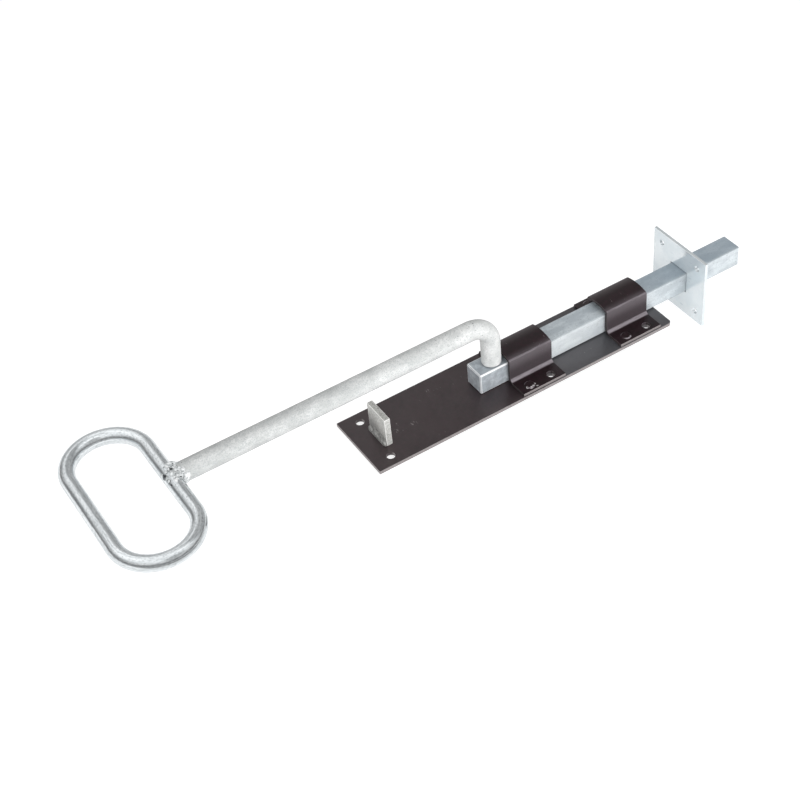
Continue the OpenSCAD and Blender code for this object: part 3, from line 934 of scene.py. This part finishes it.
def makeRod():
    shape = rodShape
    up, back = Vector((0, 0, 1)), Vector((-1, 0, 0))
    rings = []

    def add(x, z, tangent, radius, distance):
        rings.append((Vector((mm(x), 0, mm(z))), tangent, mm(radius), mm(distance)))

    for z in (shape["barLow"], shape["barTop"] - shape["spigotNeck"], shape["barTop"]):
        add(shape["legX"], z, up, shape["spigotRadius"], z - shape["barTop"])
    chamfer, gap = shape["footChamfer"], shape["footGap"]
    add(shape["legX"], shape["barTop"] + gap, up, shape["radius"] - chamfer, gap)
    bendZ = shape["runZ"] - shape["bendRadius"]
    count = int((bendZ - shape["barTop"] - chamfer) / shape["step"])
    for k in range(count + 1):
        z = shape["barTop"] + chamfer + (bendZ - shape["barTop"] - chamfer) * k / count
        add(shape["legX"], z, up, shape["radius"], z - shape["barTop"])
    along = bendZ - shape["barTop"]
    bendX = shape["legX"] - shape["bendRadius"]
    for k in range(1, shape["bendSteps"] + 1):
        angle = math.pi / 2 * k / shape["bendSteps"]
        tangent = up * math.cos(angle) + back * math.sin(angle)
        x = bendX + shape["bendRadius"] * math.cos(angle)
        z = bendZ + shape["bendRadius"] * math.sin(angle)
        add(x, z, tangent, shape["radius"], along + shape["bendRadius"] * angle)
    along += shape["bendRadius"] * math.pi / 2
    run = bendX - shape["endX"]
    count = int(run / shape["step"])
    for k in range(1, count + 1):
        add(bendX - run * k / count, shape["runZ"], back, shape["radius"], along + run * k / count)
    mesh = sweep("crankedRod", rings, shape["sides"], False, Vector((0, 1, 0)))
    addPiece("crankedRod", mesh, finishes["rod"], "handle_rod", "bolt")


bowShape = {
    "barRadius": 6.35,
    "middleX": -316.7,
    "z": rodShape["runZ"],
    "endRadius": 30.4,
    "straight": 75.0,
    "turnSteps": 40,
    "step": 1.6,
    "sides": 60,
}


def makeBow():
    # Runs once round from under the weld, so that the pattern's seam is hidden there
    shape = bowShape
    halfRun, r = shape["straight"] / 2, shape["endRadius"]
    straightCount = int(halfRun / shape["step"])
    turnCount = shape["turnSteps"]
    path = []
    for k in range(straightCount):
        path.append((Vector((r, halfRun * k / straightCount, 0)), Vector((0, 1, 0))))
    for k in range(turnCount):
        angle = math.pi * k / turnCount
        path.append((Vector((r * math.cos(angle), halfRun + r * math.sin(angle), 0)),
                     Vector((-math.sin(angle), math.cos(angle), 0))))
    for k in range(2 * straightCount):
        path.append((Vector((-r, halfRun - halfRun * k / straightCount, 0)), Vector((0, -1, 0))))
    for k in range(turnCount):
        angle = math.pi * (1 + k / turnCount)
        path.append((Vector((r * math.cos(angle), -halfRun + r * math.sin(angle), 0)),
                     Vector((-math.sin(angle), math.cos(angle), 0))))
    for k in range(straightCount):
        path.append((Vector((r, -halfRun + halfRun * k / straightCount, 0)), Vector((0, 1, 0))))
    middle = Vector((shape["middleX"], 0, shape["z"]))
    rings, distance, last = [], 0.0, path[0][0]
    for point, tangent in path:
        distance += (point - last).length
        last = point
        rings.append(((middle + point) / 1000, tangent, mm(shape["barRadius"]), mm(distance)))
    mesh = sweep("closedBow", rings, shape["sides"], True, Vector((0, 0, 1)))
    addPiece("closedBow", mesh, finishes["bow"], "bow_grip", "bolt")


makeRod()
makeBow()
print("rod and bow swept")


# Rivets: low hammered heads, uneven on top

rivetShape = {
    "footTop": 5.5,
    # radius, and height over the foot, from the top outwards
    "head": [(0.9, 0.72), (1.8, 0.8), (2.6, 0.93), (3.2, 0.93), (3.7, 0.78), (4.1, 0.5), (4.35, 0.2),
             (4.4, 0.0)],
    "shankRadius": 3.0,
    "tailTop": 1.5,
    "tailRadius": 4.5,
    "dint": 0.16,           # mm that the hammer sank the top on average
    "dintSize": 1.7,        # mm across
    "ragged": 0.02,         # share of the radius that the outline is in by on average
    "raggedSize": 2.5,
    "sides": 40,
}


def makeRivet(node, seed):
    shape = rivetShape
    low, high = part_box(node)
    middle = (low + high) / 2
    top, sides = shape["footTop"], shape["sides"]
    head = [(radius, top + height) for radius, height in shape["head"]]
    tail = [(shape["shankRadius"], top), (shape["shankRadius"], shape["tailTop"]), (shape["tailRadius"], 0.0)]
    form = bmesh.new()
    rows = []
    for radius, height in head + tail:
        row = []
        for k in range(sides):
            turn = 2 * math.pi * k / sides
            spot = Vector((math.cos(turn) * radius, math.sin(turn) * radius, height))
            if height > top + 0.1:
                lump = noise.noise(spot / shape["dintSize"] + Vector((seed * 7.3, 0, 0)))
                spot.z -= shape["dint"] * (1 + lump)
                wander = noise.noise(spot / shape["raggedSize"] + Vector((0, seed * 3.1, 0)))
                spot.xy *= 1 - shape["ragged"] * (1 - wander)
            row.append(form.verts.new(Vector((middle.x, middle.y, 0)) + spot / 1000))
        rows.append(row)
    bridgeRows(form, rows)
    form.faces.new(rows[0]).smooth = True
    form.faces.new(list(reversed(rows[-1])))
    bmesh.ops.recalc_face_normals(form, faces=form.faces)
    name = "hammered" + "".join(word.capitalize() for word in node.split("_"))
    addPiece(name, meshFrom(form, name), finishes["strapLacquer"], node, "base")


for seed, node in enumerate(sorted(name for name in nodes if "rivet" in name)):
    makeRivet(node, seed)
print("rivets hammered")


# Welds: drops run together over the CAD bead

weldSkin = {
    "voxel": 0.3,                   # mm
    "fewest": 35,                   # corners that a loose bit needs to be kept
    "hollow": 0.035,                # mm that the skin dips where it counts as a hollow in full
    "hollowFrom": 0.25,             # share of that dip which doesn't count
    "ripples": [(1.6, 1.0), (0.7, 0.3)],    # size in mm, share
    "rippleSink": 0.4,              # share of their height by which the ripples are sunk into the skin
}


def dropSlivers(form, fewest):
    # Takes out loose bits of under so many corners, which the skin leaves inside a bar
    left = set(form.verts)
    while left:
        island, edge = set(), [left.pop()]
        while edge:
            vert = edge.pop()
            island.add(vert)
            near = {link.other_vert(vert) for link in vert.link_edges} & left
            left -= near
            edge.extend(near)
        if len(island) < fewest:
            bmesh.ops.delete(form, geom=list(island), context="VERTS")


def runTogether(name, node, drops, shape):
    # Joins ellipsoid drops to a smaller copy of the node's bead, as one skin of small even faces
    form = bmesh.new()
    form.from_mesh(nodes[node].data)
    corner = Vector((shape["x"], 0, shape["z"])) / 1000
    for vert in form.verts:
        vert.co = corner + (vert.co - corner) * Vector(shape["share"])
    for middle, size in drops:
        shaper = Matrix.Translation(Vector(middle) / 1000) @ Matrix.Diagonal((*(mm(s) for s in size), 1))
        bmesh.ops.create_icosphere(form, subdivisions=3, radius=1.0, matrix=shaper)
    rough = bpy.data.objects.new(name + "Rough", meshFrom(form, name))
    scene.collection.objects.link(rough)
    skin = rough.modifiers.new("skin", "REMESH")
    skin.mode = "VOXEL"
    skin.voxel_size = mm(weldSkin["voxel"])
    skin.use_smooth_shade = True
    ease = rough.modifiers.new("ease", "SMOOTH")
    ease.factor, ease.iterations = 0.5, 2
    fused = bpy.data.meshes.new_from_object(rough.evaluated_get(bpy.context.evaluated_depsgraph_get()))
    bpy.data.objects.remove(rough)
    fused.name = name
    form = bmesh.new()
    form.from_mesh(fused)
    dropSlivers(form, weldSkin["fewest"])
    hollow = form.verts.layers.float.new("hollow")
    form.normal_update()
    for vert in form.verts:
        near = [edge.other_vert(vert).co for edge in vert.link_edges]
        around = sum(near, Vector()) / max(1, len(near))
        sunk = (around - vert.co).dot(vert.normal)      # over 0 where the skin dips
        vert[hollow] = min(1.0, max(0.0, sunk / mm(weldSkin["hollow"]) - weldSkin["hollowFrom"]))
    for vert in form.verts:
        ripple = sum(share * noise.noise(vert.co / mm(size)) for size, share in weldSkin["ripples"])
        vert.co += vert.normal * mm(shape["rippled"]) * (ripple - weldSkin["rippleSink"])
        vert.co.z = min(vert.co.z, mm(shape["highest"]))
    for face in form.faces:
        face.smooth = True
    form.to_mesh(fused)
    form.free()
    return fused


bowWeldShape = {
    "x": bowShape["middleX"] + bowShape["endRadius"],
    "z": rodShape["runZ"],
    "rows": [(15, 0.9, 2.1, 0.2), (13, 3.4, 1.5, -0.2)],    # drops round, mm from the bow, size, mm off the rod
    "dropShape": (1.15, 1.0, 0.8),
    "squash": 0.93,         # height of the rows against a true round
    "uneven": (0.6, 0.3, 0.4),      # how far drops wander: mm off the rod, shares of the way out and the size
    "calmFrom": -0.3,       # the bead is calmer where cosine and sine of the turn are both over this
    "calmer": 0.55,         # how small the drops are on top and behind, where the bead flows into both bars
    "sunk": 1.1,            # and how far they sink, in mm
    "share": (1.0, 0.86, 0.94),     # of the CAD bead's size, for the drops to lie on
    "highest": 71.1,
    "rippled": 0.07,
    # x, y, z from the middle of the joint, and the three half sizes
    "runs": [(9.2, -7.2, 1.9, 3.2, 1.8, 2.7), (11.4, -6.8, 3.4, 1.6, 1.5, 1.6), (7.4, -7.8, -0.6, 1.7, 1.5, 1.8),
             (0.2, -10.4, 5.6, 1.4, 3.0, 1.2), (1.4, -9.2, 5.6, 1.6, 1.6, 1.2), (8.4, -4.4, 6.1, 2.4, 1.9, 1.5),
             (6.4, -5.6, 5.2, 1.8, 1.6, 1.5), (7.6, -2.0, 6.9, 1.5, 1.3, 1.2), (6.0, -6.9, 3.6, 1.5, 1.3, 1.6),
             (-1.6, 0.6, 5.6, 1.8, 1.9, 1.3), (-3.6, -3.6, 4.8, 1.5, 2.0, 1.4), (1.6, -6.4, 5.8, 2.3, 1.7, 1.3),
             (4.8, -1.6, 6.2, 2.8, 2.4, 1.5), (-3.8, -7.2, 4.7, 1.1, 1.2, 1.1), (4.4, -10.2, 2.6, 1.8, 2.2, 2.0),
             (-4.9, 2.2, 3.4, 1.2, 1.5, 1.3), (3.2, 4.6, 5.4, 2.4, 1.8, 1.4), (-0.8, 5.6, 5.4, 1.5, 1.9, 1.0),
             (10.6, 0.6, 7.2, 1.0, 1.2, 0.8), (2.6, -13.2, 4.8, 1.3, 1.8, 1.0)],
    "spatter": [(-4.8, -11.6, 3.9, 0.7), (14.6, 1.6, 7.6, 0.45), (12.6, -6.2, 4.6, 0.5), (2.0, 11.0, 5.7, 0.6),
                (-3.4, 9.4, 5.1, 0.5), (3.0, -16.6, 5.2, 0.55), (-0.6, -15.2, 6.1, 0.5)],
}


def makeBowWeld():
    shape = bowWeldShape
    off, outwards, bigger = shape["uneven"]
    drops = []
    for row, (count, out, size, proud) in enumerate(shape["rows"]):
        for k in range(count):
            turn = 2 * math.pi * (k + 0.5 * row) / count
            wander = noise.noise(Vector((k * 1.7, row * 5.1, 0.3)))
            calm = min(math.cos(turn), math.sin(turn)) > shape["calmFrom"]
            radius = rodShape["radius"] + proud + off * wander - (shape["sunk"] if calm else 0.0)
            y, z = radius * math.cos(turn), radius * math.sin(turn)
            surface = math.sqrt(max(0.0, bowShape["barRadius"] ** 2 - z * z))
            grown = size * (1 + bigger * wander) * (shape["calmer"] if calm else 1.0)
            middle = (shape["x"] + surface + out * (1 + outwards * wander), y, shape["z"] + z * shape["squash"])
            drops.append((middle, [grown * part for part in shape["dropShape"]]))
    for x, y, z, *size in shape["runs"]:
        drops.append(((shape["x"] + x, y, shape["z"] + z), size))
    for x, y, z, size in shape["spatter"]:
        drops.append(((shape["x"] + x, y, shape["z"] + z), (size, size, size)))
    mesh = runTogether("bowWeldDrops", "bow_weld_bead", drops, shape)
    addPiece("bowWeldDrops", mesh, finishes["bowWeld"], "bow_weld_bead", "bolt")


tabWeldShape = {
    "x": -120.5,
    "z": 3.0,
    "halfWidth": 10.8,
    "count": 8,
    "drop": 1.5,
    "dropShape": (1.0, 1.5, 1.4),
    "dropAt": (-0.6, 1.4),          # x and z of the drops from the corner of tab and plate
    "uneven": (0.2, 0.4),           # how far drops wander: share of the size, mm up or down
    "share": (0.62, 0.96, 1.0),     # of the CAD bead's size, for the drops to lie on
    "intoTab": 0.05,
    "highest": 12.0,
    "rippled": 0.05,
}


def makeTabWeld():
    shape = tabWeldShape
    outX, upZ = shape["dropAt"]
    bigger, higher = shape["uneven"]
    drops = []
    for k in range(shape["count"]):
        y = -shape["halfWidth"] + 2 * shape["halfWidth"] * k / (shape["count"] - 1)
        wander = noise.noise(Vector((k * 2.3, 1.1, 4.0)))
        size = shape["drop"] * (1 + bigger * wander)
        drops.append(((shape["x"] + outX, y, shape["z"] + upZ + higher * wander),
                      [size * part for part in shape["dropShape"]]))
    mesh = runTogether("tabWeldDrops", "stop_tab_weld", drops, shape)
    for vert in mesh.vertices:
        vert.co.z = max(vert.co.z, mm(shape["z"]))
        vert.co.x = min(vert.co.x, mm(shape["x"] + shape["intoTab"]))
    addPiece("tabWeldDrops", mesh, finishes["tabWeld"], "stop_tab_weld", "base")


makeBowWeld()
makeTabWeld()
print("welds run")
